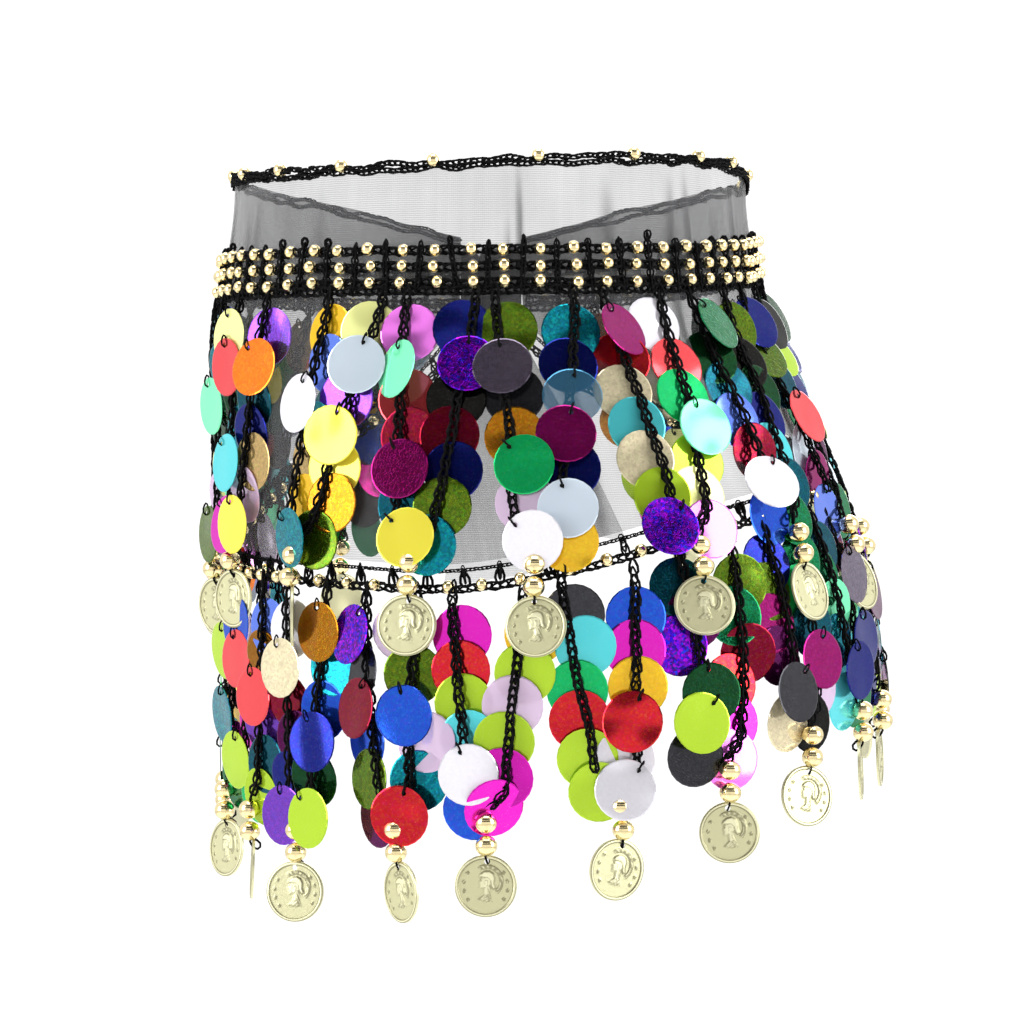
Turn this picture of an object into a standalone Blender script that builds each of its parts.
"""Belly dance hip scarf as worn: a ring of sheer cloth tied at one hip, with two tiers of fringe and coins.

Sizes are in millimetres until a mesh is made. The origin is the middle of the ring that the beaded band
makes round the wearer. -X is the wearer's front, -Y the hip where the scarf is widest and +Y the tied hip.
"""

import math

import bmesh
import bpy
from mathutils import Vector

MM = 0.001

# The way round the ring runs from -180 to 180: 0 is the widest hip, 90 the wearer's back, 180 the knot.
HALF_TURN = 180.0
CLOTH_WALL = 1.0
SEAM_GAP = 0.3
EDGE_GAP = 0.8
PANEL_COLUMNS = 80
PANEL_STEPS = (0.12, 0.32, 0.62, 1.0)
SQUARENESS = 2.25
KNOT_HALF_WIDTH = 11.6
KNOT_GAP = 0.5

# Body sections that the scarf rests on, from the waist down
SECTION_COLUMNS = ("height", "centre_x", "half_depth", "half_width")
SECTIONS = (
    (44.0, 0.0, 90.0, 122.0),
    (20.0, 0.0, 91.0, 122.5),
    (0.0, 0.0, 93.0, 124.5),
    (-20.0, 1.4, 96.0, 131.0),
    (-49.0, 8.5, 101.0, 145.0),
    (-97.0, 18.0, 109.0, 161.0),
    (-140.0, 22.0, 112.0, 167.5),
    (-180.0, 22.5, 112.5, 168.5),
    (-240.0, 22.5, 112.5, 168.5),
)

# Heights of the rim, of the band's middle and of the hem on the way round
EDGE_COLUMNS = ("way", "rim", "band", "hem")
EDGES = (
    (-174.0, 22.0, 5.0, -8.0),
    (-165.0, 26.0, 4.0, -26.0),
    (-150.0, 32.0, 4.0, -44.0),
    (-120.0, 36.0, 3.5, -72.0),
    (-90.0, 36.0, 1.6, -90.0),
    (-60.0, 33.5, 0.6, -95.5),
    (-30.0, 32.2, -0.3, -98.5),
    (-14.0, 32.8, -0.6, -99.8),
    (0.0, 34.0, -0.5, -95.4),
    (30.0, 36.6, 1.0, -79.5),
    (60.0, 37.6, 5.0, -69.0),
    (90.0, 34.0, 9.5, -60.5),
    (120.0, 36.0, 9.5, -50.5),
    (150.0, 32.0, 7.0, -40.0),
    (165.0, 26.0, 5.5, -26.0),
    (174.0, 22.0, 5.0, -8.0),
)

# Soft ridges that run down the cloth, and the pleats gathered at the knot
FOLD_COLUMNS = ("way", "spread", "rise")
FOLDS = (
    (-158.0, 8.0, 1.3),
    (-131.0, 12.0, 0.9),
    (-101.0, 10.0, 0.7),
    (-66.0, 12.0, 0.5),
    (6.0, 7.0, 0.8),
    (44.0, 14.0, 0.5),
    (78.0, 10.0, 0.7),
    (108.0, 12.0, 0.9),
    (139.0, 10.0, 1.1),
    (161.0, 7.0, 1.3),
)
PLEAT_COLUMNS = 5
PLEAT_DEPTH = 0.5

# Rim edging
RIM_TALL = 4.0
RIM_THICK = 2.2

# Bead band: crochet columns, each with a post that stands above the band
BAND_POSTS = 61
BAND_POST_WIDTH = 3.6
BAND_ABOVE = 7.0
BAND_BELOW = 9.0
BAND_POST_RISE = 4.2
BAND_THICK = 2.2
BAND_GAP = 0.55

# Hem edging: an edge line, open windows between posts, and a chain
HEM_WINDOWS = 32
HEM_POST_WIDTH = 3.0
HEM_LINE_TALL = 1.2
HEM_WINDOW_TALL = 4.2
HEM_CHAIN_TALL = 2.2
HEM_THICK = 1.8

# Fringe: pairs of strands that lean together above two large beads and a coin
PAIR_FOOT = 5.4
SCALE_HALF_WIDTH = 7.4
SCALE_PITCH = 12.2
SCALE_LEAN = 1.4
SCALE_RIDGE = 2.2
NECK_HALF_WIDTH = 1.5
NECK_RIDGE = 1.5
PAIR_CLEARANCE = 0.8
BACKING_TALL = 2.0
BEAD_RADIUS = 3.6
BEAD_TO_COIN = 13.0
COIN_RADIUS = 10.0
COIN_THICK = 1.2
COIN_SIDES = 10

TIER_COLUMNS = ("name", "scales", "first_scale", "bead", "root_back", "root_front", "foot_back")
TIERS = (
    ("upper", 7, 11.0, 97.0, 1.3, 3.1, 4.4),
    ("lower", 6, 13.0, 85.5, -0.8, 0.9, 1.6),
)

# Every pair: place along the band in mm from the widest hip, half the distance between its strands at the
# top, how far its foot hangs to one side, and how much longer than its tier it is
PAIR_COLUMNS = ("tier", "place", "reach", "shift", "drop")
PAIRS = (
    ("upper", -306.0, 12.0, 0.0, 0.0),
    ("upper", -264.0, 12.0, 0.0, 0.0),
    ("upper", -222.0, 12.0, 0.0, 0.0),
    ("upper", -180.0, 12.0, 0.0, -3.0),
    ("upper", -138.0, 12.0, 0.0, -6.0),
    ("upper", -95.4, 11.0, -3.0, -10.0),
    ("upper", -44.4, 6.4, -12.0, -4.0),
    ("upper", -15.4, 7.2, -3.6, 1.0),
    ("upper", 14.4, 7.2, -4.6, 4.0),
    ("upper", 48.0, 10.0, -2.0, 0.0),
    ("upper", 83.0, 9.6, -8.0, -3.0),
    ("upper", 120.0, 11.0, -4.0, -4.0),
    ("upper", 164.0, 12.0, 0.0, 0.0),
    ("upper", 208.0, 12.0, 0.0, 0.0),
    ("upper", 252.0, 12.0, 0.0, 0.0),
    ("upper", 300.0, 12.0, 0.0, 0.0),
    ("lower", -239.9, 12.0, 0.0, 0.0),
    ("lower", -207.0, 12.0, 0.0, 0.0),
    ("lower", -174.1, 12.0, 0.0, -2.0),
    ("lower", -141.2, 12.0, 3.0, -5.0),
    ("lower", -108.3, 12.0, 6.0, -3.0),
    ("lower", -75.4, 11.6, 0.0, 0.0),
    ("lower", -43.9, 9.5, 5.5, -4.0),
    ("lower", -16.3, 9.5, 1.0, -6.0),
    ("lower", 14.1, 10.6, 6.5, -4.0),
    ("lower", 47.5, 10.6, 0.0, -5.0),
    ("lower", 78.0, 9.0, -3.0, -8.0),
    ("lower", 108.0, 9.0, 0.0, -9.0),
    ("lower", 140.0, 11.0, 0.0, -6.0),
    ("lower", 173.0, 11.0, 0.0, -3.0),
    ("lower", 206.0, 11.0, 0.0, 0.0),
)

# Knot sections from its front end to its back end, and the two tie ends
KNOT_COLUMNS = ("across", "back", "front", "half_height")
KNOT_SECTIONS = (
    (-1.0, -3.0, 5.0, 12.5),
    (-0.72, -2.0, 10.0, 16.0),
    (-0.38, -1.2, 14.5, 11.5),
    (-0.28, -1.0, 18.5, 15.0),
    (0.28, -1.0, 18.5, 15.0),
    (0.38, -1.2, 14.5, 11.5),
    (0.72, -2.0, 10.0, 16.0),
    (1.0, -3.0, 5.0, 12.5),
)
KNOT_WRAP = 3
KNOT_MIDDLE = 5.0
KNOT_CORNERS = 12
TIE_ROWS = 8
TIE_STRIPS = 6
TIE_OUT = 11.5
TIE_PLEAT = 1.4
TIE_COLUMNS = ("name", "side", "length", "top_width", "foot_width", "foot_shift")
TIE_ENDS = (
    ("tie_end_front", -1.0, 96.0, 9.0, 34.0, 21.0),
    ("tie_end_back", 1.0, 78.0, 9.0, 30.0, 20.0),
)

# Colours as red, green, blue, with roughness and metallic
FINISHES = {
    "chiffon": ((0.060, 0.060, 0.064), 0.80, 0.0),
    "crochet": ((0.012, 0.012, 0.013), 0.85, 0.0),
    "foil_upper": ((0.16, 0.42, 0.52), 0.25, 0.8),
    "foil_lower": ((0.55, 0.16, 0.36), 0.25, 0.8),
    "coin_gold": ((0.70, 0.62, 0.36), 0.35, 1.0),
}


def rows_of(columns, table):
    """Give a table's rows as dictionaries under its column names."""
    return [dict(zip(columns, row)) for row in table]


def smooth_read(rows, key, value, place):
    """Read a column between rows, on a smooth curve through all of them."""
    if place <= min(rows[0][key], rows[-1][key]):
        return min(rows, key=lambda row: row[key])[value]
    if place >= max(rows[0][key], rows[-1][key]):
        return max(rows, key=lambda row: row[key])[value]
    ordered = sorted(rows, key=lambda row: row[key])
    upper = next(i for i, row in enumerate(ordered) if row[key] >= place)
    slopes = []
    for i in (upper - 1, upper):
        before, after = ordered[max(i - 1, 0)], ordered[min(i + 1, len(ordered) - 1)]
        slopes.append((after[value] - before[value]) / (after[key] - before[key]))
    low, high = ordered[upper - 1], ordered[upper]
    span = high[key] - low[key]
    t = (place - low[key]) / span
    return (low[value] * (1 + 2 * t) * (1 - t) ** 2 + slopes[0] * span * t * (1 - t) ** 2
            + high[value] * t * t * (3 - 2 * t) + slopes[1] * span * t * t * (t - 1))


SECTION_ROWS = rows_of(SECTION_COLUMNS, SECTIONS)
EDGE_ROWS = rows_of(EDGE_COLUMNS, EDGES)
FOLD_ROWS = rows_of(FOLD_COLUMNS, FOLDS)


def section(height):
    """Centre and half sizes of the body's section at a height."""
    return [smooth_read(SECTION_ROWS, "height", name, height) for name in SECTION_COLUMNS[1:]]


def edge(way, name):
    """Height of the rim, band or hem at a place on the way round."""
    return smooth_read(EDGE_ROWS, "way", name, way)


def power(value):
    """Signed power that squares off an ellipse a little."""
    return math.copysign(abs(value) ** (2.0 / SQUARENESS), value)


def bearing_table():
    """Bearings at even steps round the band, with the length of cloth up to each, and the whole length."""
    _, half_depth, half_width = section(0.0)
    bearings = [math.radians(step / 4.0 - HALF_TURN) for step in range(1441)]
    points = [(half_depth * power(math.sin(b)), -half_width * power(math.cos(b))) for b in bearings]
    lengths = [0.0]
    for here, there in zip(points, points[1:]):
        lengths.append(lengths[-1] + math.dist(here, there))
    return bearings, lengths


BEARINGS, LENGTHS = bearing_table()
BAND_GIRTH = LENGTHS[-1]
WAY_PER_MM = 2 * HALF_TURN / BAND_GIRTH
END_WAY = HALF_TURN - (KNOT_HALF_WIDTH + KNOT_GAP) * WAY_PER_MM


def bearing(way):
    """Angle round the ellipse at a share of the band's length."""
    target = (way + HALF_TURN) / (2 * HALF_TURN) * BAND_GIRTH
    low, high = 0, len(LENGTHS) - 1
    while high - low > 1:
        middle = (low + high) // 2
        if LENGTHS[middle] <= target:
            low = middle
        else:
            high = middle
    share = (target - LENGTHS[low]) / (LENGTHS[high] - LENGTHS[low])
    return BEARINGS[low] + share * (BEARINGS[high] - BEARINGS[low])


def outward_at(x_share, y_share, half_depth, half_width):
    """Outward direction of the section where a point lies, from its shares of the half sizes."""
    along = math.copysign(abs(x_share) ** (SQUARENESS - 1), x_share) / half_depth
    across = math.copysign(abs(y_share) ** (SQUARENESS - 1), y_share) / half_width
    return Vector((along, across, 0.0)).normalized()


def fold_rise(way):
    """How far the cloth stands off the body in its soft folds."""
    return sum(row["rise"] * math.exp(-((way - row["way"]) / row["spread"]) ** 2) for row in FOLD_ROWS)


def body_point(way, height, out):
    """Point beside the body at a place on the way round, moved out, on the cloth's folds."""
    centre_x, half_depth, half_width = section(height)
    turn = bearing(way)
    x_share, y_share = power(math.sin(turn)), -power(math.cos(turn))
    outward = outward_at(x_share, y_share, half_depth, half_width)
    base = Vector((centre_x + half_depth * x_share, half_width * y_share, height))
    return base + outward * (out + fold_rise(way))


def column_way(column):
    """Place on the way round of one of the panel's columns."""
    return END_WAY * (2.0 * column / PANEL_COLUMNS - 1.0)


def pleat(column):
    """Pleats that the knot gathers, deepest beside it."""
    reach = min(column, PANEL_COLUMNS - column)
    fade = max(0.0, 1.0 - reach / PLEAT_COLUMNS)
    return PLEAT_DEPTH * fade * (1.0 if column % 2 else -1.0)


def cloth_point(way, height_of, out):
    """Point on the flat facets between the panel's columns, so that all trims lie parallel to the cloth."""
    place = (way / END_WAY + 1.0) / 2.0 * PANEL_COLUMNS
    low = min(max(int(math.floor(place)), 0), PANEL_COLUMNS - 1)
    ends = []
    for column in (low, low + 1):
        here = column_way(column)
        ends.append(body_point(here, height_of(here), out + pleat(column)))
    return ends[0].lerp(ends[1], place - low)


def finish(name, finish_name):
    """Material of one piece."""
    colour, roughness, metallic = FINISHES[finish_name]
    material = bpy.data.materials.new(f"{name}_finish")
    material.use_nodes = True
    shader = material.node_tree.nodes["Principled BSDF"]
    shader.inputs["Base Color"].default_value = (*colour, 1.0)
    shader.inputs["Roughness"].default_value = roughness
    shader.inputs["Metallic"].default_value = metallic
    material.diffuse_color = (*colour, 1.0)
    return material


def add_piece(name, mesh_data, finish_name, collection):
    """Turn a bmesh in millimetres into a named object in metres."""
    mesh_data.normal_update()
    mesh = bpy.data.meshes.new(name)
    bmesh.ops.scale(mesh_data, vec=(MM, MM, MM), verts=mesh_data.verts)
    mesh_data.to_mesh(mesh)
    mesh_data.free()
    mesh.shade_smooth()
    mesh.set_sharp_from_angle(angle=math.radians(40))
    mesh.materials.append(finish(name, finish_name))
    piece = bpy.data.objects.new(name, mesh)
    collection.objects.link(piece)
    return piece


def add_wall(piece, thick):
    """Give an open sheet its thickness, half to each side."""
    solidify = piece.modifiers.new("wall", "SOLIDIFY")
    solidify.thickness = thick * MM
    solidify.offset = 0.0
    solidify.use_even_offset = True


def sheet(point, column_count, row_count, keep=None):
    """Open sheet over a grid, from the top row down, without the cells that keep leaves out."""
    mesh_data = bmesh.new()
    grid = [[mesh_data.verts.new(point(i, j)) for j in range(row_count + 1)] for i in range(column_count + 1)]
    for i in range(column_count):
        for j in range(row_count):
            if keep is None or keep(i, j):
                mesh_data.faces.new((grid[i][j], grid[i][j + 1], grid[i + 1][j + 1], grid[i + 1][j]))
    loose = [vertex for vertex in mesh_data.verts if not vertex.link_faces]
    bmesh.ops.delete(mesh_data, geom=loose, context="VERTS")
    return mesh_data


def panel_rows(way):
    """Heights of the panel's rows: its top edge, the band's edges and middle, and even steps to the hem."""
    band, hem = edge(way, "band"), edge(way, "hem")
    top = edge(way, "rim") - RIM_TALL / 2 - SEAM_GAP
    bottom = max(band - BAND_BELOW, hem + 4.0)
    upper = min(band + BAND_ABOVE, top - 4.0)
    steps = [bottom + (hem - bottom) * share for share in PANEL_STEPS]
    return [top, upper, (upper + bottom) / 2, bottom, *steps]


def make_panel(collection):
    """Sheer cloth from the rim to the hem, open where its ends meet the knot."""
    def point(i, j):
        way = column_way(i)
        return body_point(way, panel_rows(way)[j], pleat(i))
    mesh_data = sheet(point, PANEL_COLUMNS, 3 + len(PANEL_STEPS))
    panel = add_piece("chiffon_panel", mesh_data, "chiffon", collection)
    add_wall(panel, CLOTH_WALL)


def make_rim(collection):
    """Crochet braid along the top edge."""
    def point(i, j):
        rise = RIM_TALL * (0.5 - j)
        return cloth_point(column_way(i), lambda way: edge(way, "rim") + rise, 0.0)
    rim = add_piece("rim_edging", sheet(point, PANEL_COLUMNS, 1), "crochet", collection)
    add_wall(rim, RIM_THICK)


def make_band(collection):
    """Beaded crochet band on the cloth, with a post above it in each column."""
    out = CLOTH_WALL / 2 + BAND_GAP + BAND_THICK / 2
    half_post = BAND_POST_WIDTH / 2 * WAY_PER_MM
    pitch = (END_WAY - half_post) * 2 / (BAND_POSTS - 1)

    def point(i, j):
        way = (i // 2) * pitch - (END_WAY - half_post) + (half_post if i % 2 else -half_post)
        edge_spot = cloth_point(way, lambda here: panel_rows(here)[max(j, 1)], out)
        if j:
            return edge_spot
        rim_spot = cloth_point(way, lambda here: panel_rows(here)[0], out)
        return edge_spot.lerp(rim_spot, BAND_POST_RISE / (rim_spot - edge_spot).length)

    def keep(i, j):
        return j > 0 or i % 2 == 0
    band = add_piece("bead_band", sheet(point, BAND_POSTS * 2 - 1, 3, keep), "crochet", collection)
    add_wall(band, BAND_THICK)


def hem_levels(way):
    """Heights of the hem edging's four edges, from the line's top to the chain's foot."""
    line_top = edge(way, "hem") - EDGE_GAP
    line_foot = line_top - HEM_LINE_TALL
    chain_top = line_foot - HEM_WINDOW_TALL
    return (line_top, line_foot, chain_top, chain_top - HEM_CHAIN_TALL)


def make_hem(name, side, collection):
    """One half of the open crochet edging under the hem, from the widest hip to the knot."""
    half_post = HEM_POST_WIDTH / 2 * WAY_PER_MM
    start = half_post + SEAM_GAP / 2 * WAY_PER_MM
    pitch = (END_WAY - half_post - start) / HEM_WINDOWS

    def point(i, j):
        way = start + (i // 2) * pitch + (half_post if i % 2 else -half_post)
        return cloth_point(side * way, lambda here: hem_levels(here)[j], 0.0)

    def keep(i, j):
        return j != 1 or i % 2 == 0
    mesh_data = sheet(point, HEM_WINDOWS * 2 + 1, 3, keep)
    if side < 0:
        bmesh.ops.reverse_faces(mesh_data, faces=mesh_data.faces)
    add_wall(add_piece(name, mesh_data, "crochet", collection), HEM_THICK)


class Pair:
    """A pair of strands that hangs down the body in the plane of its own outward direction."""

    def __init__(self, tier, row):
        self.tier = tier
        self.reach = row["reach"]
        self.shift = row["shift"]
        self.bead = tier["bead"] + row["drop"]
        self.step = SCALE_PITCH + row["drop"] / tier["scales"]
        self.way = row["place"] * WAY_PER_MM
        self.top = self.backing_heights(self.way)[1]
        centre_x, half_depth, half_width = section(self.top)
        turn = bearing(self.way)
        x_share, y_share = power(math.sin(turn)), -power(math.cos(turn))
        self.start = Vector((centre_x + half_depth * x_share, half_width * y_share, 0.0))
        self.outward = outward_at(x_share, y_share, half_depth, half_width)
        self.sideways = Vector((-self.outward.y, self.outward.x, 0.0))
        self.levels = self.walk_down()

    def backing_heights(self, way):
        """Top and foot of the backing strip that the strands grow from."""
        carrier = panel_rows(way)[3] if self.tier["name"] == "upper" else hem_levels(way)[3]
        return carrier - EDGE_GAP, carrier - EDGE_GAP - BACKING_TALL

    def on_body(self, lateral, height):
        """Where the pair's plane, moved sideways, meets the body at a height, and the directions there."""
        centre_x, half_depth, half_width = section(height)
        origin = self.start + self.sideways * lateral - Vector((centre_x, 0.0, 0.0))
        low, high = -60.0, 140.0
        for _ in range(30):
            reach = (low + high) / 2
            spot = origin + self.outward * reach
            size = abs(spot.x / half_depth) ** SQUARENESS + abs(spot.y / half_width) ** SQUARENESS
            if size < 1.0:
                low = reach
            else:
                high = reach
        outward = outward_at(spot.x / half_depth, spot.y / half_width, half_depth, half_width)
        return Vector((spot.x + centre_x, spot.y, height)), outward

    def walk_down(self):
        """Heights at each millimetre of strand."""
        levels = [self.top]
        spot, _ = self.on_body(0.0, self.top)
        for _ in range(130):
            below, _ = self.on_body(0.0, levels[-1] - 1.0)
            levels.append(levels[-1] - 1.0 / (below - spot).length)
            spot, _ = self.on_body(0.0, levels[-1])
        return levels

    def height_at(self, distance):
        """Height of the strand at a distance from its root."""
        low = int(distance)
        return self.levels[low] + (self.levels[low + 1] - self.levels[low]) * (distance - low)

    def spot(self, distance, lateral, out):
        """Point, outward and sideways directions on the strand's way down."""
        point, outward = self.on_body(lateral, self.height_at(distance))
        point += outward * (out + fold_rise(self.way))
        return point, outward, Vector((-outward.y, outward.x, 0.0))

    def back_at(self, distance):
        """Distance between the strand's back and the body: it swings clear towards its foot."""
        share = min(distance / self.bead, 1.0)
        root = max(self.tier["root_back"], 0.2)
        return root + (self.tier["foot_back"] - root) * (1 - (1 - share) ** 2)

    def half_at(self, distance):
        """Half the distance between the pair's strands."""
        share = min(distance / self.bead, 1.0)
        return self.reach + (PAIR_FOOT - self.reach) * share ** 1.3

    def centre_at(self, distance):
        """Sideways place of the pair's middle."""
        return self.shift * min(distance / self.bead, 1.0) ** 1.3

    def stations(self, side, beaded):
        """Sections of one strand: distance, side shift, half widths to each side, and ridge."""
        tier = self.tier
        found = [(tier["first_scale"] - self.step / 2, self.centre_at(5.0) + side * self.half_at(5.0),
                  NECK_HALF_WIDTH, NECK_HALF_WIDTH, NECK_RIDGE)]
        for scale in range(tier["scales"]):
            middle = tier["first_scale"] + scale * self.step
            lean = SCALE_LEAN if scale % 2 else -SCALE_LEAN
            half = self.half_at(middle)
            inner = min(SCALE_HALF_WIDTH, half - PAIR_CLEARANCE)
            widths = (inner, SCALE_HALF_WIDTH) if side > 0 else (SCALE_HALF_WIDTH, inner)
            found.append((middle, self.centre_at(middle) + side * half + lean, *widths, SCALE_RIDGE))
            last = scale == tier["scales"] - 1
            neck = middle + self.step / 2 * (0.8 if last else 1.0)
            half = self.half_at(neck) * (0.55 if last and beaded else 1.0)
            lateral = self.centre_at(neck) + side * half
            found.append((neck, lateral, NECK_HALF_WIDTH, NECK_HALF_WIDTH, NECK_RIDGE))
        if beaded:
            found.append((self.bead, self.shift, BEAD_RADIUS, BEAD_RADIUS, BEAD_RADIUS * 1.6))
            tip = self.bead + BEAD_TO_COIN - COIN_RADIUS - SEAM_GAP
            found.append((tip, self.shift, NECK_HALF_WIDTH, NECK_HALF_WIDTH, NECK_RIDGE))
        return found


def add_strand(mesh_data, root, pair, side, beaded):
    """Loft a three-sided strand down from a root face of the backing."""
    back_left, back_right, front_right, front_left = root
    rings = []
    for distance, lateral, left, right, ridge in pair.stations(side, beaded):
        point, outward, sideways = pair.spot(distance, lateral, pair.back_at(distance))
        corners = (point - sideways * left, point + sideways * right, point + outward * ridge)
        rings.append([mesh_data.verts.new(corner) for corner in corners])
    left, right, ridge = rings[0]
    mesh_data.faces.new((back_right, back_left, left, right))
    mesh_data.faces.new((front_right, back_right, right, ridge))
    mesh_data.faces.new((front_left, front_right, ridge))
    mesh_data.faces.new((back_left, front_left, ridge, left))
    for upper, lower in zip(rings, rings[1:]):
        for i in range(3):
            j = (i + 1) % 3
            mesh_data.faces.new((upper[j], upper[i], lower[i], lower[j]))
    mesh_data.faces.new(tuple(reversed(rings[-1])))


def make_fringe(tier, collection):
    """A tier of fringe: a narrow backing strip with the strands of all its pairs, and the coins."""
    pairs = [Pair(tier, row) for row in rows_of(PAIR_COLUMNS, PAIRS) if row["tier"] == tier["name"]]
    root_half = NECK_HALF_WIDTH * WAY_PER_MM
    strands = [(pair, side) for pair in pairs for side in (-1.0, 1.0)]
    roots = [(pair, side, pair.way + side * pair.reach * WAY_PER_MM) for pair, side in strands]
    mesh_data = bmesh.new()
    loops = []
    root_cells = {}
    for number, (pair, side, way) in enumerate(roots):
        if loops:
            before = loops[-1][0]
            span = way - root_half - before
            extra = max(1, math.ceil(span / WAY_PER_MM / 9.0)) - 1
            loops += [(before + span * step / (extra + 1), None) for step in range(1, extra + 1)]
        loops.append((way - root_half, number))
        loops.append((way + root_half, None))
    rings = []
    for way, _ in loops:
        ring = []
        for level, out in ((1, "root_back"), (1, "root_front"), (0, "root_front"), (0, "root_back")):
            spot = cloth_point(way, lambda here, k=level: pairs[0].backing_heights(here)[k], tier[out])
            ring.append(mesh_data.verts.new(spot))
        rings.append(ring)
    for place, (here, there) in enumerate(zip(rings, rings[1:])):
        number = loops[place][1]
        if number is None:
            mesh_data.faces.new((here[1], here[0], there[0], there[1]))
        else:
            root_cells[number] = (here[0], there[0], there[1], here[1])
        for i in (1, 2, 3):
            j = (i + 1) % 4
            mesh_data.faces.new((here[j], here[i], there[i], there[j]))
    mesh_data.faces.new(tuple(reversed(rings[0])))
    mesh_data.faces.new(tuple(rings[-1]))
    for number, (pair, side, _) in enumerate(roots):
        add_strand(mesh_data, root_cells[number], pair, side, side > 0)
    bmesh.ops.recalc_face_normals(mesh_data, faces=mesh_data.faces)
    add_piece(f"fringe_{tier['name']}", mesh_data, f"foil_{tier['name']}", collection)
    for number, pair in enumerate(pairs, start=1):
        make_coin(f"coin_{tier['name']}_{number:02d}", pair, collection)


def make_coin(name, pair, collection):
    """Coin that hangs flat against the fringe under its pair's beads."""
    middle = pair.bead + BEAD_TO_COIN
    out = pair.tier["foot_back"] + COIN_THICK / 2
    top, outward, _ = pair.spot(middle - COIN_RADIUS, pair.shift, out)
    foot, _, _ = pair.spot(middle + COIN_RADIUS, pair.shift, out)
    down = (foot - top).normalized()
    sideways = down.cross(outward).normalized()
    facing = sideways.cross(down)
    bpy.ops.mesh.primitive_cylinder_add(vertices=COIN_SIDES, radius=COIN_RADIUS * MM, depth=COIN_THICK * MM)
    coin = bpy.context.object
    coin.name = name
    coin.data.name = name
    turn = coin.matrix_world.to_3x3()
    for row in range(3):
        turn[row][0], turn[row][1], turn[row][2] = -down[row], facing.cross(-down)[row], facing[row]
    coin.matrix_world = turn.to_4x4()
    coin.location = (top + down * COIN_RADIUS) * MM
    coin.data.materials.append(finish(name, "coin_gold"))
    for owner in list(coin.users_collection):
        owner.objects.unlink(coin)
    collection.objects.link(coin)


def make_knot(collection):
    """Knot of gathered cloth between the two ends of the panel."""
    far_side = body_point(HALF_TURN, KNOT_MIDDLE, 0.0)
    mesh_data = bmesh.new()
    rings = []
    for row in rows_of(KNOT_COLUMNS, KNOT_SECTIONS):
        depth = (row["back"] + row["front"]) / 2
        half_depth = (row["front"] - row["back"]) / 2
        ring = []
        for corner in range(KNOT_CORNERS):
            turn = 2 * math.pi * corner / KNOT_CORNERS
            ring.append(mesh_data.verts.new((
                far_side.x + row["across"] * KNOT_HALF_WIDTH,
                far_side.y + depth + half_depth * math.cos(turn),
                KNOT_MIDDLE + row["half_height"] * math.sin(turn),
            )))
        rings.append(ring)
    for here, there in zip(rings, rings[1:]):
        for i in range(KNOT_CORNERS):
            j = (i + 1) % KNOT_CORNERS
            mesh_data.faces.new((here[i], here[j], there[j], there[i]))
    mesh_data.faces.new(rings[0])
    mesh_data.faces.new(rings[-1])
    bmesh.ops.recalc_face_normals(mesh_data, faces=mesh_data.faces)
    add_piece("tie_knot", mesh_data, "chiffon", collection)


def make_tie_end(row, collection):
    """One end of the scarf, pleated where it leaves the knot, hanging over the fringe."""
    wrap = rows_of(KNOT_COLUMNS, KNOT_SECTIONS)[KNOT_WRAP]
    top = KNOT_MIDDLE - wrap["half_height"] - KNOT_GAP
    knot_depth = body_point(HALF_TURN, KNOT_MIDDLE, 0.0).y + (wrap["back"] + wrap["front"]) / 2

    def point(i, j):
        share = j / TIE_ROWS
        width = row["top_width"] + (row["foot_width"] - row["top_width"]) * share ** 0.8
        middle = row["top_width"] / 2 + 0.8 + (row["foot_shift"] - row["top_width"] / 2) * share
        across = row["side"] * (middle + width * (i / TIE_STRIPS - 0.5))
        height = top - row["length"] * share - 5.0 * share * (i / TIE_STRIPS)
        base = body_point(HALF_TURN, height, 0.0)
        fall_back = across * across / (2 * section(height)[1])
        depth = knot_depth + (base.y + TIE_OUT - knot_depth) * share ** 0.6
        swell = TIE_PLEAT * (0.6 + 0.4 * share) * (1.0 if i % 2 else -1.0)
        return Vector((base.x + across, depth + swell - fall_back, height))
    mesh_data = sheet(point, TIE_STRIPS, TIE_ROWS)
    if row["side"] > 0:
        bmesh.ops.reverse_faces(mesh_data, faces=mesh_data.faces)
    add_wall(add_piece(row["name"], mesh_data, "chiffon", collection), CLOTH_WALL)


def main():
    """Build the whole scarf in its own collection."""
    for old in list(bpy.data.objects):
        bpy.data.objects.remove(old, do_unlink=True)
    collection = bpy.data.collections.new("hip_scarf")
    bpy.context.scene.collection.children.link(collection)
    make_panel(collection)
    make_rim(collection)
    make_band(collection)
    make_hem("hem_edging_front", -1.0, collection)
    make_hem("hem_edging_back", 1.0, collection)
    for tier in rows_of(TIER_COLUMNS, TIERS):
        make_fringe(tier, collection)
    make_knot(collection)
    for row in rows_of(TIE_COLUMNS, TIE_ENDS):
        make_tie_end(row, collection)


main()
